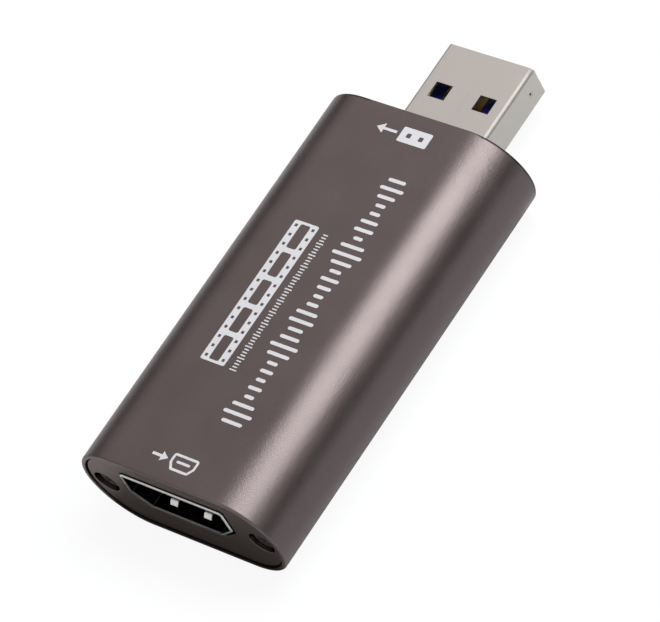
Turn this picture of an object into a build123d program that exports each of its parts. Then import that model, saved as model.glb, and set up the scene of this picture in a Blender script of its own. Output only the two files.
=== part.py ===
from build123d import *
import math
import os

# A pocket video capture box: an extruded aluminium tube closed by two screwed end plates, with a
# digital video socket in the input plate and a flat data plug standing out of the output plate.
# Millimetres. X runs across, Y from the socket to the plug, Z up. The origin is under the middle
# of the whole object, on the surface that it rests on.

# Case tube
case_width = 27.8
case_height = 13.0
case_length = 51.6
case_wall = 1.1
case_rim_wall = 0.55
case_end_chamfer = 0.2

# End plates, let into the tube's ends on a step in its wall
plate_thickness = 1.5
plate_recess = 0.1
plate_play = 0.12
plate_edge_chamfer = 0.2

# Plate screws
screw_inset = 2.9
screw_diameter = 2.0
screw_length = 6.0
screw_play = 0.02
screw_hole_play = 0.1
head_diameter = 2.9
head_height = 0.8
head_play = 0.18
head_sink = 0.2
head_edge_chamfer = 0.12
cross_length = 1.8
cross_width = 0.45
cross_depth = 0.5
tapped_run_out = 0.6

# Screw bosses and board rails of the tube
boss_diameter = 3.0
rail_thickness = 0.7
rail_overlap = 1.0

# Circuit board
board_thickness = 1.2
board_slot_gap = 0.1
board_side_gap = 0.2
board_end_gap = 0.2
board_corner_radius = 0.8
board_hole_gap = 0.1

# Video socket
socket_width = 14.5
socket_height = 5.4
socket_floor_width = 10.0
socket_side_height = 3.5
socket_wall = 0.25
socket_depth = 11.5
socket_corner_radius = 0.45
socket_proud = 0.1
socket_seat_gap = 0.05
socket_plate_gap = 0.12
socket_lower_corner_gap = 0.45
socket_lip_chamfer = 0.12
socket_leg_width = 1.0
socket_leg_reach = 0.3
socket_leg_shares = (0.35, 0.83)

# Tongue block of the video socket
tongue_width = 11.3
tongue_thickness = 1.1
tongue_front_gap = 1.7
tongue_nose_chamfer = 0.2
block_depth = 3.0
block_play = 0.05

# Contacts of the video socket
socket_contact_pitch = 1.0
socket_contact_width = 0.3
socket_contact_thickness = 0.15
socket_contact_setback = 0.5
socket_contact_play = 0.02
socket_tail_gap = 0.3
socket_foot_length = 0.9
upper_contact_count = 10
lower_contact_count = 9

# Spring leaves of the video socket
leaf_width = 1.05
leaf_thickness = 0.2
leaf_length = 5.2
leaf_root_run = 0.9
leaf_root_radius = 0.6
leaf_rise = 0.72
leaf_apex_radius = 0.3
leaf_lip_run = 0.38
leaf_lip_drop = 0.42
leaf_offset = 2.4
leaf_front_gap = 1.0
leaf_side_gap = 0.2
leaf_root_gap = 0.05

# Data plug
plug_reach = 12.8
plug_width = 12.0
plug_height = 4.5
plug_wall = 0.3
plug_corner_radius = 0.55
plug_root_length = 6.0
plug_rise = 0.8
plug_plate_gap = 0.15
plug_notch_gap = 0.2
plug_window_width = 2.3
plug_window_length = 2.1
plug_window_setback = 5.15
plug_window_offset = 3.1
plug_dimple_diameter = 0.7
plug_dimple_depth = 0.12
plug_dimple_setback = 1.95
plug_tip_chamfer = 0.1
plug_seam_width = 0.06
plug_ear_width = 1.4
plug_ear_length = 2.0
plug_ear_thickness = 0.3
plug_prong_reach = 0.3

# Insulator and contacts of the data plug
insulator_setback = 0.4
insulator_play = 0.05
insulator_nose_chamfer = 0.25
cavity_depth = 12.0
plug_contact_thickness = 0.2
plug_contact_stand = 0.05
plug_contact_seat_gap = 0.05
plug_contact_play = 0.02
plug_contact_setback = 1.3
plug_tail_length = 1.6
main_contact_width = 1.0
main_contact_offsets = (-3.5, -1.0, 1.0, 3.5)
rear_contact_width = 0.5
rear_contact_setback = 8.6
rear_contact_offsets = (-4.6, -2.25, 0, 2.25, 4.6)

# Parts soldered to the board
processor_size = 8.0
processor_height = 1.1
receiver_size = 6.0
receiver_height = 0.85
chip_mark_diameter = 0.8
chip_mark_depth = 0.05
chip_mark_inset = 1.1
flash_width = 3.9
flash_length = 4.9
flash_height = 1.45
regulator_width = 1.6
regulator_length = 2.9
regulator_height = 1.0
lead_width = 0.4
lead_thickness = 0.17
lead_reach = 0.9
lead_pitch = 1.27
crystal_width = 2.0
crystal_length = 2.5
crystal_height = 0.7
crystal_corner_radius = 0.4
inductor_size = 2.5
inductor_height = 1.5
inductor_corner_radius = 0.5
tank_width = 2.5
tank_length = 3.2
tank_height = 1.9
chip_cap_width = 0.5
chip_cap_length = 1.0
chip_cap_height = 0.5
resistor_height = 0.35
protector_width = 2.5
protector_length = 1.0
protector_height = 0.55
thermal_pad_size = 8.0
area_end_gap = 0.8
area_side_gap = 0.2
crystal_count = 2
inductor_count = 2
protector_count = 4
small_capacitor_count = 8
resistors_in_column = 3

# Worked-out places
overrun = case_height
half_total = (case_length + plug_reach) / 2
front_y = -half_total
back_y = front_y + case_length
tip_y = back_y + plug_reach
mid_z = case_height / 2
flat_half = case_width / 2 - case_height / 2
inner_radius = case_height / 2 - case_wall
seat_radius = case_height / 2 - case_rim_wall
screw_x = case_width / 2 - screw_inset
front_seat_y = front_y + plate_recess + plate_thickness
back_seat_y = back_y - plate_recess - plate_thickness
board_top = mid_z - boss_diameter / 2 - board_slot_gap
board_bottom = board_top - board_thickness
board_drop = mid_z - board_bottom
board_half = flat_half + math.sqrt(inner_radius ** 2 - board_drop ** 2) - board_side_gap
board_front_y = front_seat_y + board_end_gap
board_back_y = back_seat_y - board_end_gap
mouth_y = front_y + plate_recess - socket_proud
socket_rear_y = mouth_y + socket_depth
socket_bottom = board_top + socket_seat_gap
socket_mid_z = socket_bottom + socket_height / 2
socket_side_z = socket_bottom + socket_height - socket_side_height
socket_tail_y = socket_rear_y + socket_tail_gap + socket_foot_length
leaf_root_y = mouth_y + leaf_front_gap + leaf_length
leaf_root_z = socket_bottom + socket_wall / 2
plug_mid_z = (board_top + board_bottom) / 2 + plug_rise
plug_rear_y = back_y - plug_root_length
plug_contact_z = board_top + plug_contact_seat_gap
insulator_top = plug_contact_z + plug_contact_thickness - plug_contact_stand
area_front_y = socket_tail_y + area_end_gap
area_back_y = plug_rear_y - plug_tail_length - area_end_gap
area_half = screw_x - boss_diameter / 2 - area_side_gap


def along_case(section, start_y, end_y):
    """Carries a section, drawn with X across and Z up, from start_y to end_y."""
    plane = Plane(origin=(0, end_y, 0), x_dir=(1, 0, 0), z_dir=(0, -1, 0))
    return extrude(plane * section, amount=end_y - start_y)


def block(low_x, high_x, low_y, high_y, low_z, high_z):
    """A box between two corners."""
    solid = Box(high_x - low_x, high_y - low_y, high_z - low_z, align=(Align.MIN, Align.MIN, Align.MIN))
    return Pos(low_x, low_y, low_z) * solid


def stadium(radius):
    """The case's section with the given side radius: two half circles and two flats."""
    return Pos(0, mid_z) * SlotCenterToCenter(2 * flat_half, 2 * radius)


def screw_places():
    return [-screw_x, screw_x]


def case_tube():
    outer = along_case(stadium(mid_z), front_y, back_y)
    ends = outer.faces().sort_by(Axis.Y)
    outer = chamfer(ends[0].edges() + ends[-1].edges(), case_end_chamfer)
    cavity = along_case(stadium(inner_radius), front_y - overrun, back_y + overrun)
    cavity += along_case(stadium(seat_radius), front_y - overrun, front_seat_y)
    cavity += along_case(stadium(seat_radius), back_seat_y, back_y + overrun)
    bosses = Sketch()
    for side in (-1, 1):
        web_width = case_width / 2 - screw_x
        bosses += Pos(side * screw_x, mid_z) * Circle(boss_diameter / 2)
        bosses += Pos(side * (screw_x + web_width / 2), mid_z) * Rectangle(web_width, boss_diameter)
        rail_width = case_width / 2 - board_half + rail_overlap
        rail_x = case_width / 2 - rail_width / 2
        bosses += Pos(side * rail_x, board_bottom - rail_thickness / 2) * Rectangle(rail_width, rail_thickness)
    rooted = bosses & stadium(inner_radius + case_wall / 2)
    tube = outer - cavity + along_case(rooted, front_seat_y, back_seat_y)
    hole_radius = screw_diameter / 2 + screw_play
    for x in screw_places():
        hole = Pos(x, mid_z) * Circle(hole_radius)
        depth = screw_length + head_height + head_sink - plate_thickness + tapped_run_out
        tube -= along_case(hole, front_seat_y, front_seat_y + depth)
        tube -= along_case(hole, back_seat_y - depth, back_seat_y)
    return tube


def blank_plate(outer_y, inner_y):
    """An end plate before its opening is cut: outer_y is its face on show, inner_y its back."""
    plate = along_case(stadium(seat_radius - plate_play), min(outer_y, inner_y), max(outer_y, inner_y))
    shown = plate.faces().sort_by(Axis.Y)
    face = shown[0] if outer_y < inner_y else shown[-1]
    plate = chamfer(face.edges(), plate_edge_chamfer)
    inward = 1 if outer_y < inner_y else -1
    bore_y = outer_y + inward * (head_height + head_sink)
    for x in screw_places():
        through = Pos(x, mid_z) * Circle(screw_diameter / 2 + screw_hole_play)
        counterbore = Pos(x, mid_z) * Circle(head_diameter / 2 + head_play)
        plate -= along_case(through, min(outer_y, inner_y) - overrun, max(outer_y, inner_y) + overrun)
        plate -= along_case(counterbore, min(outer_y, bore_y), max(outer_y, bore_y))
    return plate


def socket_outline(half_width, floor_half, side_z, bottom_z, top_z):
    """The socket's flat-topped section with its two slanted lower corners."""
    points = [(-half_width, top_z), (-half_width, side_z), (-floor_half, bottom_z)]
    points += [(floor_half, bottom_z), (half_width, side_z), (half_width, top_z)]
    return make_face(Polyline(*points, close=True))


def socket_section(shrink):
    """The socket's outer section, drawn in by shrink all round."""
    top_z = socket_bottom + socket_height
    outline = socket_outline(socket_width / 2, socket_floor_width / 2, socket_side_z, socket_bottom, top_z)
    outline = fillet(outline.vertices(), socket_corner_radius)
    if shrink == 0:
        return outline
    return offset(outline, amount=-shrink)


def input_end_plate():
    plate = blank_plate(front_y + plate_recess, front_seat_y)
    opening = socket_outline(
        socket_width / 2 + socket_plate_gap,
        socket_floor_width / 2 + socket_lower_corner_gap,
        socket_side_z - socket_lower_corner_gap,
        socket_bottom - socket_plate_gap,
        socket_bottom + socket_height + socket_plate_gap,
    )
    opening = fillet(opening.vertices(), socket_corner_radius)
    return plate - along_case(opening, front_y - overrun, front_seat_y + overrun)


def output_end_plate():
    plate = blank_plate(back_y - plate_recess, back_seat_y)
    width = plug_width + 2 * plug_plate_gap
    height = plug_height + 2 * plug_plate_gap
    opening = Pos(0, plug_mid_z) * RectangleRounded(width, height, plug_corner_radius + plug_plate_gap)
    return plate - along_case(opening, back_seat_y - overrun, back_y + overrun)


def plate_screws(face_y, inward):
    """Both screws of one plate. face_y is the plate's shown face, inward the way the screws go in."""
    screws = []
    outer_y = face_y + inward * head_sink
    under_head_y = outer_y + inward * head_height
    point_y = under_head_y + inward * screw_length
    slot_y = outer_y + inward * cross_depth
    for x in screw_places():
        head = along_case(Pos(x, mid_z) * Circle(head_diameter / 2), *sorted((outer_y, under_head_y)))
        ends = head.faces().sort_by(Axis.Y)
        shown = ends[0] if inward > 0 else ends[-1]
        head = chamfer(shown.edges(), head_edge_chamfer)
        shank = along_case(Pos(x, mid_z) * Circle(screw_diameter / 2), *sorted((under_head_y, point_y)))
        cross = Rectangle(cross_length, cross_width) + Rectangle(cross_width, cross_length)
        recess = along_case(Pos(x, mid_z) * Rot(0, 0, 45) * cross, *sorted((outer_y, slot_y)))
        screws.append(head + shank - recess)
    return screws


def input_plate_screws():
    return plate_screws(front_y + plate_recess, 1)


def output_plate_screws():
    return plate_screws(back_y - plate_recess, -1)


def socket_leg_places():
    places = []
    for share in socket_leg_shares:
        y = mouth_y + share * socket_depth
        places += [(-1, y), (1, y)]
    return places


def leaf_windows():
    """The four slots in the socket's floor and ceiling that its spring leaves lie in."""
    windows = []
    front = mouth_y + leaf_front_gap - leaf_thickness / 2 - leaf_side_gap
    back = leaf_root_y + leaf_thickness / 2 + leaf_root_gap
    half = leaf_width / 2 + leaf_side_gap
    top_z = socket_bottom + socket_height
    for x in (-leaf_offset, leaf_offset):
        windows.append(block(x - half, x + half, front, back, 0, socket_bottom + socket_wall))
        windows.append(block(x - half, x + half, front, back, top_z - socket_wall, top_z + overrun))
    return windows


def video_socket_shell():
    shell = along_case(socket_section(0), mouth_y, socket_rear_y)
    shell -= along_case(socket_section(socket_wall), mouth_y - overrun, socket_rear_y + overrun)
    mouth = shell.faces().sort_by(Axis.Y)[0]
    shell = chamfer(mouth.inner_wires()[0].edges(), socket_lip_chamfer)
    for window in leaf_windows():
        shell -= window
    for side, y in socket_leg_places():
        inner_x = socket_width / 2 - socket_wall
        xs = sorted((side * inner_x, side * socket_width / 2))
        ys = (y - socket_leg_width / 2, y + socket_leg_width / 2)
        shell += block(*xs, *ys, board_bottom - socket_leg_reach, socket_side_z + socket_wall)
    return shell


def contact_row(count):
    """The places across the socket of a row of contacts."""
    first = -socket_contact_pitch * (count - 1) / 2
    return [first + socket_contact_pitch * step for step in range(count)]


def socket_contact(x, upper, play):
    """One contact: a blade on the tongue, a drop behind the block and a foot on the board."""
    half = socket_contact_width / 2 + play
    front = mouth_y + tongue_front_gap + socket_contact_setback - play
    drop_y = socket_rear_y + socket_tail_gap
    if upper:
        low = socket_mid_z + tongue_thickness / 2 - socket_contact_thickness
    else:
        low = socket_mid_z - tongue_thickness / 2
    high = low + socket_contact_thickness
    rear = drop_y + socket_contact_thickness
    blade = block(x - half, x + half, front, rear, low - play, high + play)
    drop = block(x - half, x + half, drop_y, rear, board_top, high)
    foot = block(x - half, x + half, drop_y, drop_y + socket_foot_length, board_top,
                 board_top + socket_contact_thickness)
    return blade + drop + foot


def video_socket_block():
    rear = along_case(socket_section(socket_wall + block_play), socket_rear_y - block_depth, socket_rear_y)
    nose_y = mouth_y + tongue_front_gap
    half = tongue_width / 2
    low = socket_mid_z - tongue_thickness / 2
    tongue = block(-half, half, nose_y, socket_rear_y - block_depth, low, low + tongue_thickness)
    nose = tongue.faces().sort_by(Axis.Y)[0]
    tongue = chamfer(nose.edges(), tongue_nose_chamfer)
    body = rear + tongue
    for x in contact_row(upper_contact_count):
        body -= socket_contact(x, True, socket_contact_play)
    for x in contact_row(lower_contact_count):
        body -= socket_contact(x, False, socket_contact_play)
    return body


def video_socket_upper_contacts():
    return [socket_contact(x, True, 0) for x in contact_row(upper_contact_count)]


def video_socket_lower_contacts():
    return [socket_contact(x, False, 0) for x in contact_row(lower_contact_count)]


def spring_leaf(x, upper):
    """One leaf: a ribbon that rises from its root in the shell's wall and curls down at the mouth."""
    middle = FilletPolyline(
        (0, 0),
        (-leaf_root_run, 0),
        (leaf_lip_run - leaf_length, leaf_rise),
        (-leaf_length, leaf_rise - leaf_lip_drop),
        radius=(leaf_root_radius, leaf_apex_radius),
    )
    ribbon = make_face(offset(middle, amount=leaf_thickness / 2, side=Side.BOTH))
    leaf = Pos(x - leaf_width / 2, leaf_root_y, leaf_root_z) * extrude(Plane.YZ * ribbon, amount=leaf_width)
    if upper:
        leaf = mirror(leaf, about=Plane.XY.offset(socket_mid_z))
    return leaf


def socket_spring_lower_left():
    return spring_leaf(-leaf_offset, False)


def socket_spring_lower_right():
    return spring_leaf(leaf_offset, False)


def socket_spring_upper_left():
    return spring_leaf(-leaf_offset, True)


def socket_spring_upper_right():
    return spring_leaf(leaf_offset, True)


def plug_section(shrink):
    """The plug's outer section, drawn in by shrink all round."""
    width = plug_width - 2 * shrink
    height = plug_height - 2 * shrink
    return Pos(0, plug_mid_z) * RectangleRounded(width, height, plug_corner_radius - shrink)


def plug_ear_y():
    """The middle of the plug's ears, which lie on the board beside its notch."""
    return (plug_rear_y + board_back_y) / 2


def data_plug_shell():
    shell = along_case(plug_section(0), plug_rear_y, tip_y)
    tip = shell.faces().sort_by(Axis.Y)[-1]
    shell = chamfer(tip.edges(), plug_tip_chamfer)
    shell -= along_case(plug_section(plug_wall), plug_rear_y - overrun, tip_y + overrun)
    seam = plug_seam_width / 2
    shell -= block(-seam, seam, plug_rear_y - overrun, tip_y + overrun, 0, plug_mid_z)
    half = plug_window_width / 2
    window_back = tip_y - plug_window_setback
    for x in (-plug_window_offset, plug_window_offset):
        shell -= block(x - half, x + half, window_back - plug_window_length, window_back, 0, case_height)
    for side in (-1, 1):
        dimple = Cylinder(plug_dimple_diameter / 2, 2 * plug_dimple_depth, rotation=(0, 90, 0))
        shell -= Pos(side * plug_width / 2, tip_y - plug_dimple_setback, plug_mid_z) * dimple
        inner_x = plug_width / 2 - plug_wall
        outer_x = plug_width / 2 + plug_ear_width
        xs = sorted((side * inner_x, side * outer_x))
        ys = (plug_ear_y() - plug_ear_length / 2, plug_ear_y() + plug_ear_length / 2)
        shell += block(*xs, *ys, board_top, board_top + plug_ear_thickness)
        prong_xs = sorted((side * (outer_x - plug_ear_thickness), side * outer_x))
        shell += block(*prong_xs, *ys, board_bottom - plug_prong_reach, board_top + plug_ear_thickness)
    return shell


def plug_contact(x, width, front_y, play):
    """A straight contact strip that ends in a tail on the board."""
    half = width / 2 + play
    tail = plug_rear_y - plug_tail_length
    low = plug_contact_z - play
    high = plug_contact_z + plug_contact_thickness + play
    return block(x - half, x + half, tail, front_y + play, low, high)


def data_plug_main_contacts():
    front = tip_y - plug_contact_setback
    return [plug_contact(x, main_contact_width, front, 0) for x in main_contact_offsets]


def data_plug_rear_contacts():
    front = tip_y - rear_contact_setback
    return [plug_contact(x, rear_contact_width, front, 0) for x in rear_contact_offsets]


def data_plug_insulator():
    rear = along_case(plug_section(plug_wall + insulator_play), plug_rear_y, tip_y - cavity_depth)
    body = along_case(plug_section(plug_wall + insulator_play), plug_rear_y, tip_y - insulator_setback)
    half = plug_width / 2
    body -= block(-half, half, plug_rear_y - overrun, tip_y + overrun, insulator_top, case_height)
    nose = body.faces().sort_by(Axis.Y)[-1]
    body = chamfer(nose.edges().sort_by(Axis.Z)[-1], insulator_nose_chamfer)
    body += rear
    for x in main_contact_offsets:
        body -= plug_contact(x, main_contact_width, tip_y - plug_contact_setback, plug_contact_play)
    for x in rear_contact_offsets:
        body -= plug_contact(x, rear_contact_width, tip_y - rear_contact_setback, plug_contact_play)
    return body


def circuit_board():
    middle_y = (board_front_y + board_back_y) / 2
    outline = Pos(0, middle_y) * RectangleRounded(
        2 * board_half, board_back_y - board_front_y, board_corner_radius)
    board = Pos(0, 0, board_bottom) * extrude(outline, amount=board_thickness)
    notch = plug_width / 2 + plug_notch_gap
    board -= block(-notch, notch, plug_rear_y - plug_notch_gap, back_y, 0, case_height)
    for side, y in socket_leg_places():
        inner_x = socket_width / 2 - socket_wall - board_hole_gap
        xs = sorted((side * inner_x, side * (socket_width / 2 + board_hole_gap)))
        reach = socket_leg_width / 2 + board_hole_gap
        board -= block(*xs, y - reach, y + reach, 0, case_height)
    for side in (-1, 1):
        outer_x = plug_width / 2 + plug_ear_width
        inner_x = outer_x - plug_ear_thickness - board_hole_gap
        xs = sorted((side * inner_x, side * (outer_x + board_hole_gap)))
        reach = plug_ear_length / 2 + board_hole_gap
        board -= block(*xs, plug_ear_y() - reach, plug_ear_y() + reach, 0, case_height)
    return board


def spread(sizes, low, high):
    """Lines up pieces of the given sizes from low to high with equal gaps, and gives their middles."""
    gap = (high - low - sum(sizes)) / (len(sizes) - 1)
    middles = []
    for size in sizes:
        middles.append(low + size / 2)
        low += size + gap
    return middles


def across(*widths):
    """The middles of a row of parts that fills the board's width between the screw bosses."""
    return spread(widths, -area_half, area_half)


def along_row(count, length, row_y, row_length):
    """The middles of equal parts that stand one behind the other within a row."""
    return spread([length] * count, row_y - row_length / 2, row_y + row_length / 2)


# Rows of parts across the board, from the socket to the plug, and the columns of each row
row_lengths = (protector_length, receiver_size, chip_cap_length, processor_size, tank_length)
row_middles = spread(row_lengths, area_front_y, area_back_y)
protector_y, receiver_y, capacitor_y, processor_y, power_y = row_middles
flash_span = flash_width + 2 * lead_reach
regulator_span = regulator_width + 2 * lead_reach
receiver_x, left_resistor_x, flash_x, right_resistor_x = across(
    receiver_size, chip_cap_width, flash_span, chip_cap_width)
crystal_x, processor_x, inductor_x = across(crystal_width, processor_size, inductor_size)
left_regulator_x, right_regulator_x, left_tank_x, right_tank_x = across(
    regulator_span, regulator_span, tank_width, tank_width)


def on_board(piece, x, y):
    return Pos(x, y, board_top) * piece


def standing_box(width, length, height):
    """A box that stands on its underside."""
    return Box(width, length, height, align=(Align.CENTER, Align.CENTER, Align.MIN))


def flat_chip(size, height):
    """A square chip with the round mark that shows its first contact."""
    corner = chip_mark_inset - size / 2
    mark = Pos(corner, corner, height) * Cylinder(chip_mark_diameter / 2, 2 * chip_mark_depth)
    return standing_box(size, size, height) - mark


def leaded_chip(width, length, height, leads_each_side):
    """A chip with bent leads along its two long sides."""
    chip = Pos(0, 0, lead_thickness) * standing_box(width, length, height - lead_thickness)
    knee = width / 2 + lead_reach / 2
    level = height / 2
    for side in (-1, 1):
        for step in range(leads_each_side):
            y = lead_pitch * (step - (leads_each_side - 1) / 2)
            ys = (y - lead_width / 2, y + lead_width / 2)
            shoulder_xs = sorted((side * (width / 2 - lead_thickness), side * knee))
            riser_xs = sorted((side * (knee - lead_thickness), side * knee))
            foot_xs = sorted((side * (knee - lead_thickness), side * (width / 2 + lead_reach)))
            chip += block(*shoulder_xs, *ys, level, level + lead_thickness)
            chip += block(*riser_xs, *ys, 0, level + lead_thickness)
            chip += block(*foot_xs, *ys, 0, lead_thickness)
    return chip


def rounded_block(width, length, height, corner_radius):
    """A block with rounded upright edges."""
    return extrude(RectangleRounded(width, length, corner_radius), amount=height)


def video_processor():
    return on_board(flat_chip(processor_size, processor_height), processor_x, processor_y)


def video_receiver():
    return on_board(flat_chip(receiver_size, receiver_height), receiver_x, receiver_y)


def firmware_memory():
    return on_board(leaded_chip(flash_width, flash_length, flash_height, 4), flash_x, receiver_y)


def voltage_regulators():
    chip = leaded_chip(regulator_width, regulator_length, regulator_height, 2)
    return [on_board(chip, x, power_y) for x in (left_regulator_x, right_regulator_x)]


def clock_crystals():
    can = rounded_block(crystal_width, crystal_length, crystal_height, crystal_corner_radius)
    places = along_row(crystal_count, crystal_length, processor_y, processor_size)
    return [on_board(can, crystal_x, y) for y in places]


def power_inductors():
    coil = rounded_block(inductor_size, inductor_size, inductor_height, inductor_corner_radius)
    places = along_row(inductor_count, inductor_size, processor_y, processor_size)
    return [on_board(coil, inductor_x, y) for y in places]


def tank_capacitors():
    chip = standing_box(tank_width, tank_length, tank_height)
    return [on_board(chip, x, power_y) for x in (left_tank_x, right_tank_x)]


def small_capacitors():
    chip = standing_box(chip_cap_width, chip_cap_length, chip_cap_height)
    return [on_board(chip, x, capacitor_y) for x in across(*[chip_cap_width] * small_capacitor_count)]


def small_resistors():
    chip = standing_box(chip_cap_width, chip_cap_length, resistor_height)
    places = along_row(resistors_in_column, chip_cap_length, receiver_y, receiver_size)
    return [on_board(chip, x, y) for x in (left_resistor_x, right_resistor_x) for y in places]


def surge_protectors():
    chip = standing_box(protector_width, protector_length, protector_height)
    return [on_board(chip, x, protector_y) for x in across(*[protector_width] * protector_count)]


def thermal_pad():
    half = thermal_pad_size / 2
    return block(processor_x - half, processor_x + half, processor_y - half, processor_y + half,
                 case_wall, board_bottom)


pieces = (
    case_tube,
    input_end_plate,
    output_end_plate,
    input_plate_screws,
    output_plate_screws,
    video_socket_shell,
    video_socket_block,
    video_socket_upper_contacts,
    video_socket_lower_contacts,
    socket_spring_lower_left,
    socket_spring_lower_right,
    socket_spring_upper_left,
    socket_spring_upper_right,
    data_plug_shell,
    data_plug_insulator,
    data_plug_main_contacts,
    data_plug_rear_contacts,
    circuit_board,
    video_processor,
    video_receiver,
    firmware_memory,
    voltage_regulators,
    clock_crystals,
    power_inductors,
    tank_capacitors,
    small_capacitors,
    small_resistors,
    surge_protectors,
    thermal_pad,
)

os.makedirs("parts", exist_ok=True)
for piece in pieces:
    shape = piece()
    if isinstance(shape, list):
        shape = Compound(children=shape)
    export_step(shape, f"parts/{piece.__name__}.step")
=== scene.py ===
"""The looks of the video capture box: surfaces, finishes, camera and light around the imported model."""

import logging
import math
from dataclasses import dataclass, field
from enum import Enum
from typing import ClassVar, Sequence

import bmesh
import bpy
import numpy as np
from mathutils import Matrix, Vector, geometry


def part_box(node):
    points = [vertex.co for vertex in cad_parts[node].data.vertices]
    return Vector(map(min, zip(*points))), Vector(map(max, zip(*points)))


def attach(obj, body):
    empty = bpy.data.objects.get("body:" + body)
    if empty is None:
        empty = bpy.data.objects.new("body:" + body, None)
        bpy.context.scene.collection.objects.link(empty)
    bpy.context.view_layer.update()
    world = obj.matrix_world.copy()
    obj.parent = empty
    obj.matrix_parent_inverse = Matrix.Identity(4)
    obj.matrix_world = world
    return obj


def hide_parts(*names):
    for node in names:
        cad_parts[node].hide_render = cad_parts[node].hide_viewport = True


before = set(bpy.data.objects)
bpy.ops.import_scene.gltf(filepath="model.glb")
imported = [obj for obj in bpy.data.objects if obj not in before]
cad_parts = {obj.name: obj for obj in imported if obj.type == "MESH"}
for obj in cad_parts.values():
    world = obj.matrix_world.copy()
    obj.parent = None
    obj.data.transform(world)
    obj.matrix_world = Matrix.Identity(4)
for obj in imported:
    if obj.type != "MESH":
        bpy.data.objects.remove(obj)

MM = 0.001
WELD = 0.0002 * MM
CREASE = math.radians(50)
BODY = "capture_box"
PLUG_SHEET = "plug_shell_sheet"
CASE_ENDS = tuple(corner.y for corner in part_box("case_tube"))
Pair = tuple[float, float]
Triple = tuple[float, float, float]
Colour = Triple | bpy.types.NodeSocket
log = logging.getLogger("capture_box")


def span(middle: float, half: float) -> Pair:
    """The two places half to each side of the middle."""
    return middle - half, middle + half


class Way(Enum):
    """Which way a section's third coordinate runs: along the case, or up from its top."""

    ALONG = (0, 2, 1)
    UP = (0, 1, 2)


@dataclass(frozen=True)
class Outline:
    """A closed outline as a core line with unit normals: core + reach * normal is each parallel outline."""

    core: np.ndarray
    normal: np.ndarray

    @staticmethod
    def about(corners: Sequence[Pair], steps: int = 10, side_steps: int = 1) -> "Outline":
        """Turns the normal at each core corner, anticlockwise, and keeps it along each side.

        Args:
            corners: the core's corners, anticlockwise; one corner gives a circle.
            steps: how many steps each turn takes.
            side_steps: how many steps each straight side takes.

        Returns:
            The outline.
        """
        points = np.asarray(corners, float)
        if len(points) == 1:
            angle = np.linspace(0, 2 * np.pi, 4 * steps, endpoint=False)
            normal = np.stack([np.cos(angle), np.sin(angle)], axis=1)
            return Outline(np.repeat(points, len(angle), axis=0), normal)
        side = np.roll(points, -1, axis=0) - points
        heading = np.arctan2(-side[:, 0], side[:, 1])
        core, normal = [], []
        for corner in range(len(points)):
            begin = heading[corner - 1]
            turn = (heading[corner] - begin) % (2 * np.pi)
            angle = begin + np.linspace(0, turn, steps + 1)
            core.append(np.repeat(points[corner:corner + 1], steps + 1, axis=0))
            normal.append(np.stack([np.cos(angle), np.sin(angle)], axis=1))
            share = np.arange(1, side_steps)[:, None] / side_steps
            core.append(points[corner] + share * side[corner])
            normal.append(np.repeat(normal[-1][-1:], side_steps - 1, axis=0))
        return Outline(np.concatenate(core), np.concatenate(normal))

    @staticmethod
    def inside(points: Sequence[Pair], radius: float, steps: int = 8) -> "Outline":
        """An outline whose curve at reach radius has the given sharp convex corners, rounded.

        Each core corner is the sharp corner moved in by radius * (n1 + n2) / (1 + n1 . n2).

        Args:
            points: the sharp corners, anticlockwise.
            radius: the radius of their rounding.
            steps: how many steps each corner takes.

        Returns:
            The outline.
        """
        corner = np.asarray(points, float)
        side = np.roll(corner, -1, axis=0) - corner
        length = np.linalg.norm(side, axis=1, keepdims=True)
        after = np.stack([side[:, 1], -side[:, 0]], axis=1) / length
        before = np.roll(after, 1, axis=0)
        lean = 1 + np.sum(before * after, axis=1, keepdims=True)
        return Outline.about(corner - radius * (before + after) / lean, steps)

    @staticmethod
    def plain(points: Sequence[Pair]) -> "Outline":
        """An outline with sharp corners, which may turn inwards, for reach 0 alone."""
        core = np.asarray(points, float)
        return Outline(core, np.zeros_like(core))

    def carried(self, profile: np.ndarray, way: Way) -> np.ndarray:
        """Carries a profile round the outline: point (i, j) is core i + reach j * normal i, at level j.

        Args:
            profile: (reach, level) pairs.
            way: which way the levels run.

        Returns:
            The grid of points, of shape (outline, profile, 3).
        """
        flat = self.core[:, None, :] + profile[None, :, :1] * self.normal[:, None, :]
        level = np.broadcast_to(profile[None, :, 1:], (*flat.shape[:2], 1))
        return np.concatenate([flat, level], axis=2)[:, :, list(way.value)]


def bent(points: Sequence[Pair], rounds: Sequence[float], steps: int = 5) -> np.ndarray:
    """An open profile with rounded corners.

    Each corner p, between unit vectors a and b, becomes the arc of its radius r that touches both:
    its middle is p + (a + b) / |a + b| * r / sin(half the angle).

    Args:
        points: the sharp profile.
        rounds: the radius of each point's corner, 0 to keep it sharp.
        steps: how many steps each arc takes.

    Returns:
        The rounded profile's points.
    """
    sharp = np.asarray(points, float)
    rows = [sharp[:1]]
    for before, corner, after, radius in zip(sharp, sharp[1:], sharp[2:], rounds[1:]):
        if radius == 0:
            rows.append(corner[None])
            continue
        back = (before - corner) / np.linalg.norm(before - corner)
        ahead = (after - corner) / np.linalg.norm(after - corner)
        half = math.acos(float(np.clip(back @ ahead, -1, 1))) / 2
        middle = corner + (back + ahead) / np.linalg.norm(back + ahead) * radius / math.sin(half)
        first = corner + back * radius / math.tan(half) - middle
        last = corner + ahead * radius / math.tan(half) - middle
        sweep = math.pi - 2 * half
        turned = np.linspace(0, sweep, steps + 1)[:, None]
        arc = (np.sin(sweep - turned) * first + np.sin(turned) * last) / math.sin(sweep)
        rows.append(middle + arc)
    rows.append(sharp[-1:])
    return np.concatenate(rows)


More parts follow.
